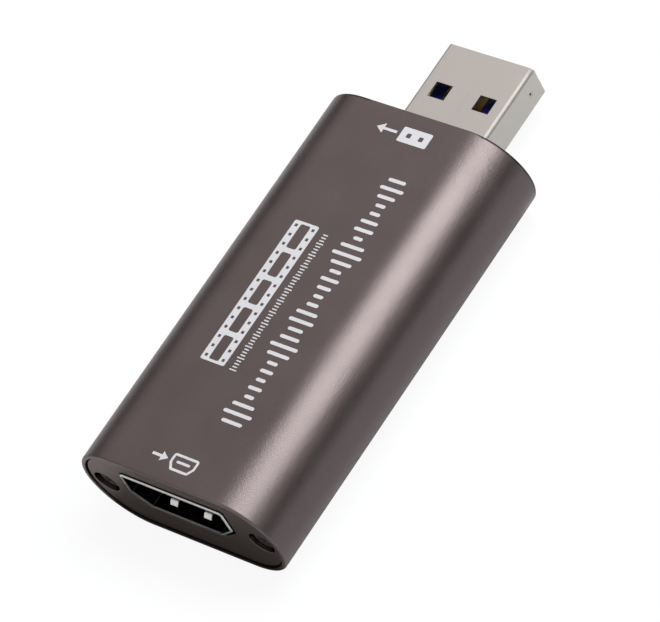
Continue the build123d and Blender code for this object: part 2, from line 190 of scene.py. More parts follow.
@dataclass
class Surface:
    """The points and faces of one piece, gathered from grids and flat fills before they become a mesh."""

    points: list[np.ndarray] = field(default_factory=list)
    faces: list[list[list[int]]] = field(default_factory=list)
    count: int = 0

    def take(self, points: np.ndarray, faces: np.ndarray) -> None:
        """Adds points and faces.

        Args:
            points: the points, of shape (n, 3).
            faces: rows of numbers of those points.
        """
        self.faces.append((faces + self.count).tolist())
        self.points.append(points)
        self.count += len(points)

    def grid(self, points: np.ndarray, wrap: bool = True, keep: np.ndarray | None = None) -> None:
        """Adds a sheet of quads over a grid of points.

        Args:
            points: the grid, of shape (rows, columns, 3).
            wrap: whether the last row joins the first.
            keep: which quads are there, by row and column, or None for all.
        """
        rows, columns = points.shape[:2]
        index = np.arange(rows * columns).reshape(rows, columns)
        ahead = np.roll(index, -1, axis=0)
        quads = np.stack([index[:, :-1], ahead[:, :-1], ahead[:, 1:], index[:, 1:]], axis=2)
        if not wrap:
            quads = quads[:-1]
        chosen = quads.reshape(-1, 4) if keep is None else quads[keep]
        self.take(points.reshape(-1, 3), chosen)

    def fill(self, loops: Sequence[np.ndarray]) -> None:
        """Fills the flat region inside the first loop and outside the others."""
        faces = geometry.tessellate_polygon([loop.tolist() for loop in loops])
        self.take(np.concatenate(loops), np.asarray(faces))

    def prism(self, walls: Sequence[tuple[Outline, np.ndarray]], way: Way) -> None:
        """Adds a closed solid: the outer wall, the walls of its holes and the two flat ends between them.

        Args:
            walls: each wall's outline and its profile, from the first end to the last; the outer one first.
            way: which way the profiles' levels run.
        """
        grids = [outline.carried(profile, way) for outline, profile in walls]
        for points in grids:
            self.grid(points)
        self.fill([points[:, 0] for points in grids])
        self.fill([points[:, -1] for points in grids])

    def object(self, name: str) -> bpy.types.Object:
        """Welds the seams, turns the faces outwards and makes the object, at the origin.

        A signed volume below 0 shows a shell that the recalculation has left inside out.

        Args:
            name: the object's name.

        Returns:
            The object.
        """
        mesh = bpy.data.meshes.new(name)
        faces = [face for group in self.faces for face in group]
        mesh.from_pydata(np.concatenate(self.points).tolist(), [], faces)
        work = bmesh.new()
        work.from_mesh(mesh)
        bmesh.ops.remove_doubles(work, verts=work.verts, dist=WELD)
        bmesh.ops.dissolve_degenerate(work, edges=work.edges, dist=WELD)
        bmesh.ops.recalc_face_normals(work, faces=work.faces)
        if work.calc_volume(signed=True) < 0:
            bmesh.ops.reverse_faces(work, faces=work.faces)
        work.to_mesh(mesh)
        work.free()
        mesh.shade_smooth()
        mesh.set_sharp_from_angle(angle=CREASE)
        made = bpy.data.objects.new(name, mesh)
        bpy.context.scene.collection.objects.link(made)
        log.info("%s: %d points", name, len(mesh.vertices))
        return made

    def build(self, name: str, slot: str) -> bpy.types.Object:
        """Makes a piece that rides on the case's body.

        Args:
            name: the piece's name.
            slot: the record's material slot; not used.

        Returns:
            The piece.
        """
        piece = self.object(name)
        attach(piece, BODY)
        return piece


def even_shading(piece: bpy.types.Object) -> None:
    """Lets the large faces set the shading where they meet a rounded edge."""
    modifier = piece.modifiers.new("even_shading", "WEIGHTED_NORMAL")
    modifier.keep_sharp = True


class Channel:
    """A number on a socket. Arithmetic on it adds Math nodes to its recipe."""

    def __init__(self, recipe: "Recipe", socket: bpy.types.NodeSocket) -> None:
        """Wraps a socket of a recipe's node."""
        self.recipe = recipe
        self.socket = socket

    def reckon(self, operation: str, *terms: "Channel | float") -> "Channel":
        """Adds one Math node over the terms, in their order."""
        made = self.recipe.node("ShaderNodeMath", {"operation": operation}, dict(enumerate(terms)))
        return Channel(self.recipe, made.outputs[0])

    def __add__(self, other: "Channel | float") -> "Channel":
        """self + other."""
        return self.reckon("ADD", self, other)

    __radd__ = __add__

    def __sub__(self, other: "Channel | float") -> "Channel":
        """self - other."""
        return self.reckon("SUBTRACT", self, other)

    def __rsub__(self, other: "Channel | float") -> "Channel":
        """other - self."""
        return self.reckon("SUBTRACT", other, self)

    def __mul__(self, other: "Channel | float") -> "Channel":
        """self * other."""
        return self.reckon("MULTIPLY", self, other)

    __rmul__ = __mul__

    def __abs__(self) -> "Channel":
        """The size of self."""
        return self.reckon("ABSOLUTE", self)

    def most(self, other: "Channel | float") -> "Channel":
        """The larger of two numbers."""
        return self.reckon("MAXIMUM", self, other)

    def wave(self) -> "Channel":
        """The sine of self."""
        return self.reckon("SINE", self)

    def rise(self, low: float, high: float) -> "Channel":
        """0 up to low, 1 from high on and a smooth step between; low above high turns it round.

        Args:
            low: where the step begins.
            high: where it ends.

        Returns:
            The step.
        """
        made = self.recipe.node(
            "ShaderNodeMapRange",
            {"interpolation_type": "SMOOTHSTEP", "clamp": True},
            {"Value": self, "From Min": low, "From Max": high},
        )
        return Channel(self.recipe, made.outputs[0])


class Recipe:
    """The node tree of one material or of the world."""

    def __init__(self, owner: bpy.types.Material | bpy.types.World) -> None:
        """Clears the owner's tree.

        Args:
            owner: the material or the world.
        """
        owner.use_nodes = True
        self.tree = owner.node_tree
        self.tree.nodes.clear()

    def node(self, kind: str, settings: dict | None = None, inputs: dict | None = None) -> bpy.types.Node:
        """Adds one node.

        Args:
            kind: the node's type.
            settings: its own properties, set first.
            inputs: a value, a Channel or a socket for each of its sockets, by name or number.

        Returns:
            The node.
        """
        made = self.tree.nodes.new(kind)
        for name, value in (settings or {}).items():
            setattr(made, name, value)
        for key, value in (inputs or {}).items():
            source = value.socket if isinstance(value, Channel) else value
            if isinstance(source, bpy.types.NodeSocket):
                self.tree.links.new(source, made.inputs[key])
            else:
                made.inputs[key].default_value = source
        return made

    def spot(self) -> bpy.types.NodeSocket:
        """The point's own coordinates, in metres."""
        return self.node("ShaderNodeTexCoord").outputs["Object"]

    def axes(self) -> list[Channel]:
        """The point's three coordinates as numbers."""
        made = self.node("ShaderNodeSeparateXYZ", inputs={0: self.spot()})
        return [Channel(self, socket) for socket in made.outputs]

    def scaled(self, size: float, stretch: Triple) -> bpy.types.NodeSocket:
        """The point's coordinates in units of size, drawn out by stretch.

        Args:
            size: the unit.
            stretch: how many times as long it is along each axis.

        Returns:
            The coordinates' socket.
        """
        scale = tuple(1 / (size * share) for share in stretch)
        made = self.node("ShaderNodeVectorMath", {"operation": "MULTIPLY"}, {0: self.spot(), 1: scale})
        return made.outputs[0]

    def noise(self, size: float, stretch: Triple = (1, 1, 1), detail: float = 2) -> Channel:
        """Noise from 0 to 1.

        Args:
            size: about how large its grains are.
            stretch: how they are drawn out along each axis.
            detail: how many finer layers it has.

        Returns:
            The noise.
        """
        made = self.node(
            "ShaderNodeTexNoise",
            inputs={"Vector": self.scaled(size, stretch), "Scale": 1.0, "Detail": detail},
        )
        return Channel(self, made.outputs[0])

    def cells(self, size: float) -> Channel:
        """How far the nearest of many scattered points lies.

        Args:
            size: about how far apart the points are.

        Returns:
            The distance, in units of size.
        """
        cell = self.scaled(size, (1, 1, 1))
        made = self.node("ShaderNodeTexVoronoi", inputs={"Vector": cell, "Scale": 1.0})
        return Channel(self, made.outputs["Distance"])

    def tint(self, colour: Triple, strength: Channel) -> bpy.types.NodeSocket:
        """A colour made lighter or darker by a number."""
        made = self.node("ShaderNodeVectorMath", {"operation": "SCALE"}, {0: colour, "Scale": strength})
        return made.outputs[0]

    def mix(self, share: Channel, first: Colour, second: Colour) -> bpy.types.NodeSocket:
        """Mixes two colours.

        Args:
            share: how much of the second is in the mixture.
            first: a colour, or the socket that gives one.
            second: another.

        Returns:
            The mixture's socket.
        """
        sockets = {0: share}
        for number, colour in ((6, first), (7, second)):
            sockets[number] = colour if isinstance(colour, bpy.types.NodeSocket) else (*colour, 1.0)
        return self.node("ShaderNodeMix", {"data_type": "RGBA"}, sockets).outputs[2]

    def bump(self, height: Channel, depth: float) -> bpy.types.NodeSocket:
        """A relief of the given depth in metres."""
        made = self.node("ShaderNodeBump", inputs={"Strength": 1.0, "Distance": depth, "Height": height})
        return made.outputs[0]

    def close(self, sockets: dict) -> None:
        """Ends the tree in a Principled shader with these sockets."""
        shader = self.node("ShaderNodeBsdfPrincipled", inputs=sockets)
        self.node("ShaderNodeOutputMaterial", inputs={"Surface": shader.outputs[0]})


@dataclass(frozen=True)
class Finish:
    """A finish with a soft mottle, a fine grain and a little relief. Colours are linear."""

    name: str
    colour: Triple
    roughness: float
    metallic: float = 0.0
    grain: float = 0.15 * MM
    cloud: float = 4.0 * MM
    mottle: float = 0.08
    relief: float = 0.002 * MM
    gloss_play: float = 0.08
    stretch: Triple = (1, 1, 1)
    edge_tint: Triple = (1, 1, 1)

    def base(self, recipe: Recipe, grain: Channel, cloud: Channel) -> bpy.types.NodeSocket:
        """The colour at each point."""
        return recipe.tint(self.colour, self.shade(grain, cloud))

    def shade(self, grain: Channel, cloud: Channel) -> Channel:
        """The mottle: how light each point is, about 1."""
        return 1 + self.mottle * (grain + cloud - 1)

    def material(self) -> bpy.types.Material:
        """Builds the finish as a material.

        Returns:
            The material.
        """
        made = bpy.data.materials.new(self.name)
        recipe = Recipe(made)
        grain = recipe.noise(self.grain, self.stretch)
        cloud = recipe.noise(self.cloud, self.stretch)
        recipe.close({
            "Base Color": self.base(recipe, grain, cloud),
            "Metallic": self.metallic,
            "Roughness": self.roughness + self.gloss_play * (grain + cloud - 1),
            "Normal": recipe.bump(grain, self.relief),
            "Specular Tint": (*self.edge_tint, 1),
        })
        return made


@dataclass(frozen=True)
class RimWornPaintedShadeFinish(Finish):
    """A dyed skin with painted shade beside the plug and under the socket's rim, which is rubbed lighter
    above.
    """

    ends: Pair = CASE_ENDS
    rim_reach: float = 0.4 * MM
    under: float = 3.6 * MM
    left_of_plug: Pair = (-5.6 * MM, -6.4 * MM)
    right_of_plug: Pair = (8.6 * MM, 9.6 * MM)
    worn_colour: Triple = (0.2, 0.175, 0.17)
    worn_share: float = 0.25
    # colour of the painted shade on the rim below the socket and beside the plug
    rim_shade_colour: Triple = (0.016, 0.013, 0.014)
    inner_share: float = 0.4
    under_share: float = 0.5
    worn_cloud: Pair = (0.3, 0.7)

    def base(self, recipe: Recipe, grain: Channel, cloud: Channel) -> bpy.types.NodeSocket:
        """The dyed colour: worn near one end where the cloud lets it, with painted shade below there and
        beside the plug.

        Args:
            recipe: the material's recipe.
            grain: its fine noise.
            cloud: its slow noise.

        Returns:
            The colour's socket.
        """
        across, along, up = recipe.axes()
        inner, levels = self.inner_share * self.rim_reach, (self.under, self.under_share * self.under)
        worn = (along - self.ends[0]).rise(self.rim_reach, 0) * cloud.rise(*self.worn_cloud) * self.worn_share
        # painted shade: the socket end's rim goes dark towards the bottom, and the plug end's rim to both
        # sides of the plug
        below = (along - self.ends[0]).rise(self.rim_reach, inner) * up.rise(*levels)
        aside = across.rise(*self.left_of_plug).most(across.rise(*self.right_of_plug))
        rim_shade = ((self.ends[1] - along).rise(self.rim_reach, inner) * aside).most(below)
        rubbed = recipe.mix(worn, super().base(recipe, grain, cloud), self.worn_colour)
        return recipe.mix(rim_shade, rubbed, self.rim_shade_colour)


@dataclass(frozen=True)
class ScratchedFinish(Finish):
    """Drawn or stamped metal with fine lines along the case and a few longer scratches."""

    scratch: float = 0.12 * MM
    scratch_share: float = 0.12
    scratch_stretch: Triple = (1, 60, 1)
    scratch_edge: Pair = (0.72, 0.8)

    def base(self, recipe: Recipe, grain: Channel, cloud: Channel) -> bpy.types.NodeSocket:
        """The metal's colour, darker in its scratches."""
        marks = recipe.noise(self.scratch, self.scratch_stretch, 0).rise(*self.scratch_edge)
        return recipe.tint(self.colour, self.shade(grain, cloud) - self.scratch_share * marks)


@dataclass(frozen=True)
class PaintedShadeInsideFinish(ScratchedFinish):
    """Bright plating at the socket's lip, with painted shade that turns it near black further in."""

    lip: float = CASE_ENDS[0] + 0.02 * MM
    fade: float = 0.1 * MM
    # colour of the painted shade inside the shell
    inside_shade_colour: Triple = (0.012, 0.012, 0.017)

    def base(self, recipe: Recipe, grain: Channel, cloud: Channel) -> bpy.types.NodeSocket:
        """The bright colour up to the lip, and the painted shade's colour past the fade behind it."""
        # painted shade: the shell's inside goes near black behind the lip
        inside = recipe.axes()[1].rise(self.lip, self.lip + self.fade)
        return recipe.mix(inside, super().base(recipe, grain, cloud), self.inside_shade_colour)


@dataclass(frozen=True)
class CornerShadedSheetFinish(ScratchedFinish):
    """Plated sheet with painted shade along the corners where it was bent, which tones down their highlight.
    """

    half_width: float = 6.0 * MM
    levels: Pair = tuple(corner.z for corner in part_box("data_plug_shell"))
    bend: Pair = (0.45 * MM, 0.3 * MM)
    # how dark the painted shade along the corners is
    corner_shade_share: float = 0.14

    def base(self, recipe: Recipe, grain: Channel, cloud: Channel) -> bpy.types.NodeSocket:
        """The sheet's colour, with painted shade within the bend's reach of both a side and the top or
        bottom.

        Args:
            recipe: the material's recipe.
            grain: its fine noise.
            cloud: its slow noise.

        Returns:
            The colour's socket.
        """
        across, _, up = recipe.axes()
        middle, half_height = sum(self.levels) / 2, (self.levels[1] - self.levels[0]) / 2
        near, close = self.bend
        beside = abs(across).rise(self.half_width - near, self.half_width - close)
        above = abs(up - middle).rise(half_height - near, half_height - close)
        plain = super().base(recipe, grain, cloud)
        # painted shade: the corners' colour goes towards black
        return recipe.mix(beside * above * self.corner_shade_share, plain, (0, 0, 0))


@dataclass(frozen=True)
class LaminateFinish(Finish):
    """Solder mask over copper tracks and plated holes."""

    track_colour: Triple = (0.012, 0.018, 0.026)
    pad_colour: Triple = (0.72, 0.52, 0.25)
    track_size: float = 1.3 * MM
    hole_size: float = 2.6 * MM
    wander: float = 5
    wander_tracks: float = 6
    track_edge: Pair = (0.45, 0.35)
    cross_edge: Pair = (0.3, 0.2)
    pad_edge: Pair = (0.13, 0.11)

    def base(self, recipe: Recipe, grain: Channel, cloud: Channel) -> bpy.types.NodeSocket:
        """Mask, with tracks where a bent wave is near 0, and pads in the middle of scattered cells.

        Args:
            recipe: the material's recipe.
            grain: its fine noise.
            cloud: its slow noise.

        Returns:
            The colour's socket.
        """
        across, along, _ = recipe.axes()
        bend = recipe.noise(self.wander_tracks * self.track_size) * self.wander
        lines = abs((across * (math.tau / self.track_size) + bend).wave()).rise(*self.track_edge)
        cross = abs((along * (math.tau / (2 * self.track_size)) + bend).wave()).rise(*self.cross_edge)
        tracked = recipe.mix(lines.most(cross), super().base(recipe, grain, cloud), self.track_colour)
        return recipe.mix(recipe.cells(self.hole_size).rise(*self.pad_edge), tracked, self.pad_colour)


class Look(Enum):
    """The finishes of the record's slots, by slot name."""

    case_anodised = RimWornPaintedShadeFinish(
        "bead_blasted_skin", (0.1, 0.078, 0.0765), roughness=0.33, metallic=0.95, grain=0.13 * MM,
        cloud=6 * MM, mottle=0.24, relief=0.025 * MM, gloss_play=0.12, edge_tint=(0.84, 0.78, 0.78))
    plate_anodised = Finish(
        "satin_plate_skin", (0.105, 0.08, 0.078), roughness=0.26, metallic=1.0, grain=0.08 * MM,
        cloud=5 * MM, mottle=0.14, relief=0.003 * MM, gloss_play=0.1, edge_tint=(0.72, 0.68, 0.66))
    screw_steel = Finish(
        "blackened_screw_steel", (0.04, 0.034, 0.034), roughness=0.36, metallic=1.0, grain=0.08 * MM,
        cloud=1 * MM, mottle=0.3)
    socket_metal = PaintedShadeInsideFinish(
        "plated_socket_steel", (0.47, 0.46, 0.445), roughness=0.24, metallic=1.0, grain=0.05 * MM,
        cloud=2 * MM, mottle=0.05, relief=0.0004 * MM, gloss_play=0.06, scratch_share=0.02)
    spring_metal = ScratchedFinish(
        "bright_spring_steel", (0.72, 0.7, 0.66), roughness=0.5, metallic=1.0, grain=0.05 * MM,
        cloud=1 * MM, mottle=0.1, relief=0.0004 * MM, gloss_play=0.06, stretch=(1, 12, 1))
    socket_plastic = Finish(
        "black_moulded_plastic", (0.008, 0.009, 0.014), roughness=0.42, grain=0.06 * MM, cloud=2 * MM,
        mottle=0.2)
    plug_metal = CornerShadedSheetFinish(
        "satin_nickel_plate", (0.422, 0.386, 0.36), roughness=0.46, metallic=1.0, grain=0.08 * MM,
        cloud=3 * MM, relief=0.001 * MM, stretch=(1, 3, 1), scratch_share=0.05)
    plug_plastic = Finish(
        "blue_moulded_plastic", (0.006, 0.01, 0.12), roughness=0.38, grain=0.06 * MM, cloud=2 * MM,
        mottle=0.15)
    contact_gold = ScratchedFinish(
        "gold_plated_bronze", (0.78, 0.55, 0.22), roughness=0.24, metallic=1.0, grain=0.05 * MM,
        cloud=1 * MM, mottle=0.12, relief=0.0003 * MM, stretch=(1, 10, 1))
    board_laminate = LaminateFinish(
        "dark_solder_mask", (0.005, 0.008, 0.013), roughness=0.3, grain=0.1 * MM, cloud=3 * MM,
        mottle=0.15)
    chip_plastic = Finish(
        "matt_chip_moulding", (0.017, 0.017, 0.018), roughness=0.55, grain=0.06 * MM, cloud=1 * MM,
        mottle=0.25)
    crystal_can = ScratchedFinish(
        "nickel_can", (0.6, 0.58, 0.54), roughness=0.3, metallic=1.0, grain=0.05 * MM, cloud=1 * MM,
        mottle=0.1)
    inductor_ferrite = Finish(
        "pressed_ferrite", (0.05, 0.052, 0.055), roughness=0.7, grain=0.08 * MM, cloud=1 * MM,
        mottle=0.3)
    capacitor_ceramic = Finish(
        "fired_ceramic", (0.36, 0.24, 0.14), roughness=0.45, grain=0.06 * MM, cloud=1 * MM, mottle=0.15)
    resistor_film = Finish(
        "glazed_film", (0.02, 0.02, 0.022), roughness=0.35, grain=0.06 * MM, cloud=1 * MM, mottle=0.2)
    pad_silicone = Finish(
        "soft_silicone", (0.3, 0.38, 0.47), roughness=0.75, grain=0.12 * MM, cloud=1.5 * MM, mottle=0.1)
    mark_ink = Finish(
        "white_ink", (0.57, 0.535, 0.55), roughness=0.5, grain=0.05 * MM, cloud=2 * MM, mottle=0.12)

    @property
    def paint(self) -> bpy.types.Material:
        """The material, made once."""
        return bpy.data.materials.get(self.value.name) or self.value.material()

    def on(self, piece: bpy.types.Object) -> None:
        """Gives a piece this finish alone.

        Args:
            piece: the piece.
        """
        if not piece.material_slots:
            piece.data.materials.append(self.paint)
        for slot in piece.material_slots:
            slot.material = self.paint


def smooth_rounds() -> bpy.types.GeometryNodeTree:
    """A node group that smooths a CAD node's shading except across edges sharper than CREASE.

    Returns:
        The group, made once.
    """
    name = "smooth_rounds"
    if name in bpy.data.node_groups:
        return bpy.data.node_groups[name]
    group = bpy.data.node_groups.new(name, "GeometryNodeTree")
    for side in ("INPUT", "OUTPUT"):
        group.interface.new_socket("Geometry", in_out=side, socket_type="NodeSocketGeometry")
    begin = group.nodes.new("NodeGroupInput")
    end = group.nodes.new("NodeGroupOutput")
    whole = group.nodes.new("GeometryNodeSetShadeSmooth")
    edges = group.nodes.new("GeometryNodeSetShadeSmooth")
    edges.domain = "EDGE"
    angle = group.nodes.new("GeometryNodeInputMeshEdgeAngle")
    sharp = group.nodes.new("FunctionNodeCompare")
    sharp.operation = "GREATER_THAN"
    sharp.inputs[1].default_value = CREASE
    edges.inputs["Shade Smooth"].default_value = False
    group.links.new(begin.outputs[0], whole.inputs["Geometry"])
    group.links.new(whole.outputs[0], edges.inputs["Geometry"])
    group.links.new(angle.outputs["Unsigned Angle"], sharp.inputs[0])
    group.links.new(sharp.outputs[0], edges.inputs["Selection"])
    group.links.new(edges.outputs[0], end.inputs[0])
    return group


def dress(look: Look, *nodes: str) -> None:
    """Gives CAD nodes a finish and smooth shading on their round faces.

    Args:
        look: the finish.
        nodes: the nodes' names.
    """
    for name in nodes:
        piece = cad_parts[name]
        look.on(piece)
        weld = piece.modifiers.new("join_facets", "WELD")
        weld.merge_threshold = WELD
        piece.modifiers.new("smooth_rounds", "NODES").node_group = smooth_rounds()
        even_shading(piece)
        log.info("%s: %s", name, look.value.name)


def middle_of(node: str) -> Vector:
    """The middle of a CAD node's box."""
    low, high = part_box(node)
    return (low + high) / 2


@dataclass
class Case:
    """The extruded tube, with the screw bosses and board rails inside it."""

    wall: float = 1.1 * MM
    rim_wall: float = 0.55 * MM
    edge_round: float = 0.24 * MM
    lip_round: float = 0.1 * MM
    boss_radius: float = 1.5 * MM
    bore_radius: float = 1.02 * MM
    rail_thickness: float = 0.7 * MM
    rail_overlap: float = 1.0 * MM
    bore_steps: int = 6
    surface: Surface = field(default_factory=Surface, init=False)

    def __post_init__(self) -> None:
        """Reads the places that the tube shares with its neighbours from the CAD nodes."""
        self.low, self.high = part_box("case_tube")
        self.radius = (self.high.z - self.low.z) / 2
        self.mid_z = (self.high.z + self.low.z) / 2
        self.flat_half = (self.high.x - self.low.x) / 2 - self.radius
        self.seats = (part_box("input_end_plate")[1].y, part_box("output_end_plate")[0].y)
        screw_low, screw_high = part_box("input_plate_screws")
        self.screw_x = screw_high.x - (screw_high.z - screw_low.z) / 2

    def stadium(self, steps: int = 40, side_steps: int = 12) -> Outline:
        """Two half circles joined by two flats."""
        return Outline.about([(x, self.mid_z) for x in span(0, self.flat_half)], steps, side_steps)

    def between_seats(self, reach: float) -> np.ndarray:
        """A straight profile from one plate's seat to the other's."""
        return np.array([(reach, seat) for seat in self.seats])

    def skin(self) -> None:
        """Adds the tube's outer and inner walls, with rounded rims and a step that seats each plate."""
        front, back = self.low.y, self.high.y
        seat_front, seat_back = self.seats
        outer, rim, inner = self.radius, self.radius - self.rim_wall, self.radius - self.wall
        half_rim = outer - self.rim_wall / 2
        outside = bent(
            [(half_rim, front), (outer, front), (outer, back), (half_rim, back)],
            [0, self.edge_round, self.edge_round, 0],
        )
        inside = bent(
            [(half_rim, front), (rim, front), (rim, seat_front), (inner, seat_front),
             (inner, seat_back), (rim, seat_back), (rim, back), (half_rim, back)],
            [0, self.lip_round, 0, 0, 0, 0, self.lip_round, 0],
        )
        for profile in (outside, inside):
            self.surface.grid(self.stadium().carried(profile, Way.ALONG))

    def bosses(self) -> None:
        """Adds the two ribs that the plate screws bite into, each with a bore from end to end."""
        root = self.low.x + self.wall / 2 + self.boss_radius
        for side in (-1, 1):
            middle = (side * self.screw_x, self.mid_z)
            rib = Outline.about(sorted([middle, (-side * root, self.mid_z)]))
            bore = Outline.about([middle], self.bore_steps)
            self.surface.prism([(rib, self.between_seats(self.boss_radius)),
                                (bore, self.between_seats(self.bore_radius))], Way.ALONG)

    def rails(self) -> None:
        """Adds the two ledges that carry the circuit board."""
        board_low, board_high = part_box("circuit_board")
        top, bottom = board_low.z, board_low.z - self.rail_thickness
        inner, outer = board_high.x - self.rail_overlap, board_high.x + self.wall / 2
        for side in (-1, 1):
            xs = sorted((side * inner, side * outer))
            corners = [(xs[0], bottom), (xs[1], bottom), (xs[1], top), (xs[0], top)]
            self.surface.prism([(Outline.plain(corners), self.between_seats(0))], Way.ALONG)

    def build(self) -> None:
        """Makes the tube and hides the CAD node that it stands for."""
        self.skin()
        self.bosses()
        self.rails()
        piece = self.surface.build("case_skin", "case_anodised")
        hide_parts("case_tube")
        Look.case_anodised.on(piece)
        even_shading(piece)


@dataclass
class EndPlate:
    """A plate let into one end of the tube, with its two stepped screw holes and its own opening."""

    case: Case
    node: str
    opening: Outline
    opening_reach: float
    edge_round: float = 0.22 * MM
    lip_round: float = 0.07 * MM
    setback: float = 0.08 * MM
    fit: float = 0.05 * MM
    sink_radius: float = 1.63 * MM
    sink_depth: float = 1.0 * MM
    hole_radius: float = 1.1 * MM
    outer_steps: int = 24
    side_steps: int = 6
    hole_steps: int = 12

    def profile(self, steps: Sequence[Pair], rounding: float) -> np.ndarray:
        """A wall's profile from the shown face to the back, with its first edge rounded.

        Args:
            steps: (reach, depth from the shown face) pairs after the first edge.
            rounding: the first edge's radius, above 0 on the outside and below 0 in a hole.

        Returns:
            The (reach, place along the case) pairs.
        """
        low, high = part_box(self.node)
        shown, back = (low.y, high.y) if low.y < 0 else (high.y, low.y)
        inward = 1 if back > shown else -1
        shown += inward * self.setback
        reach = steps[0][0]
        points = [(reach - 2 * rounding, shown), (reach, shown)]
        points += [(far, shown + inward * depth) for far, depth in steps]
        return bent(points, [0, abs(rounding)] + [0] * len(steps))

    def build(self) -> None:
        """Makes the plate and hides the CAD node that it stands for."""
        low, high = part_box(self.node)
        thickness = high.y - low.y - self.setback
        reach = (high.z - low.z) / 2 + self.fit
        outside = self.case.stadium(self.outer_steps, self.side_steps)
        walls = [(outside, self.profile([(reach, thickness)], self.edge_round))]
        for side in (-1, 1):
            hole = Outline.about([(side * self.case.screw_x, self.case.mid_z)], self.hole_steps)
            steps = [(self.sink_radius, self.sink_depth), (self.hole_radius, self.sink_depth),
                     (self.hole_radius, thickness)]
            walls.append((hole, self.profile(steps, -self.lip_round)))
        walls.append((self.opening, self.profile([(self.opening_reach, thickness)], -self.lip_round)))
        surface = Surface()
        surface.prism(walls, Way.ALONG)
        piece = surface.build(f"{self.node}_skin", "plate_anodised")
        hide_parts(self.node)
        Look.plate_anodised.on(piece)
        even_shading(piece)


@dataclass
class Screw:
    """One recessed screw: a domed head with a tapered cross recess, and a threaded shank."""

    x: float
    z: float
    outer_y: float
    inward: int
    radius: float
    length: float
    sink: float = 0.3 * MM
    head_height: float = 0.8 * MM
    edge: float = 0.12 * MM
    dome: float = 0.05 * MM
    arm_length: float = 0.92 * MM
    arm_half: float = 0.24 * MM
    taper: float = 0.07 * MM
    recess: float = 0.4 * MM
    shank_radius: float = 0.97 * MM
    thread_depth: float = 0.14 * MM
    pitch: float = 0.45 * MM
    cells: int = 72
    thread_rows: int = 70
    tip_share: float = 0.3

    def disc(self) -> tuple[np.ndarray, np.ndarray]:
        """A square grid pressed onto a disc: u = a sqrt(1 - b^2 / 2), v = b sqrt(1 - a^2 / 2).

        Returns:
            The grids of u and of v.
        """
        line = np.linspace(-1, 1, self.cells + 1)
        a, b = np.meshgrid(line, line, indexing="ij")
        return a * np.sqrt(1 - b * b / 2) * self.radius, b * np.sqrt(1 - a * a / 2) * self.radius

    def depth(self, u: np.ndarray, v: np.ndarray) -> np.ndarray:
        """How far the head's face lies under its top: dome, rounded edge and cross recess added up.

        Args:
            u: places along one arm of the cross.
            v: places along the other.

        Returns:
            The depth at each place.
        """
        out = np.hypot(u, v)
        rim = np.clip((out - self.radius + self.edge) / self.edge, 0, 1)
        fall = self.sink + self.dome * (out / self.radius) ** 2 + self.edge * (1 - np.sqrt(1 - rim * rim))
        near, far = np.minimum(abs(u), abs(v)), np.maximum(abs(u), abs(v))
        sides = np.clip((self.arm_half - near) / self.taper, 0, 1)
        ends = np.clip((self.arm_length - far) / (2 * self.taper), 0, 1)
        return fall + self.recess * np.minimum(sides, ends)

    def placed(self, u: np.ndarray, v: np.ndarray, depth: np.ndarray) -> np.ndarray:
        """Turns the cross by an eighth and sets the points at the screw's place.

        Args:
            u: places along one arm of the cross.
            v: places along the other.
            depth: how far each point lies under the head's top.

        Returns:
            The points.
        """
        half = math.sqrt(0.5)
        x, z = self.x + half * (u - v), self.z + half * (u + v)
        return np.stack([x, self.outer_y + self.inward * depth, z], axis=-1)

    def add(self, surface: Surface) -> None:
        """Adds the head's face, then rings from its edge down the shank.

        The shank's radius follows a helical ridge, | 2 ((depth / pitch - turn) mod 1) - 1 |, which fades out
        over one pitch at both ends, and narrows over its last pitch.

        Args:
            surface: what the screw is added to.
        """
        u, v = self.disc()
        surface.grid(self.placed(u, v, self.depth(u, v)), wrap=False)
        rim_u, rim_v = (np.concatenate([part[:-1, 0], part[-1, :-1], part[:0:-1, -1], part[0, :0:-1]])
                        [:, None] / self.radius for part in (u, v))
        below = np.linspace(self.head_height, self.length, self.thread_rows)
        begun = np.clip((below - self.head_height) / self.pitch, 0, 1)
        left = np.clip((self.length - below) / self.pitch, 0, 1)
        ridge = abs((below / self.pitch - np.arctan2(rim_v, rim_u) / math.tau) % 1 * 2 - 1)
        narrowed = self.shank_radius * (1 - self.tip_share * (1 - left))
        shank = narrowed - self.thread_depth * ridge * begun * left
        reach = np.concatenate([np.full((len(shank), 2), self.radius), shank], axis=1)
        level = np.concatenate([[self.sink + self.dome + self.edge, self.head_height], below])
        rings = self.placed(reach * rim_u, reach * rim_v, np.broadcast_to(level, reach.shape))
        surface.grid(rings)
        surface.fill([rings[:, -1]])


@dataclass
class PlateScrews:
    """The two screws of one plate."""

    case: Case
    node: str

    def build(self) -> None:
        """Makes both screws and hides the CAD node that they stand for."""
        low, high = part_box(self.node)
        inward = 1 if low.y < 0 else -1
        outer = low.y if inward > 0 else high.y
        radius, length = (high.z - low.z) / 2, high.y - low.y
        surface = Surface()
        for side in (-1, 1):
            Screw(side * self.case.screw_x, self.case.mid_z, outer, inward, radius, length).add(surface)
        piece = surface.build(f"{self.node}_turned", "screw_steel")
        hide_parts(self.node)
        Look.screw_steel.on(piece)


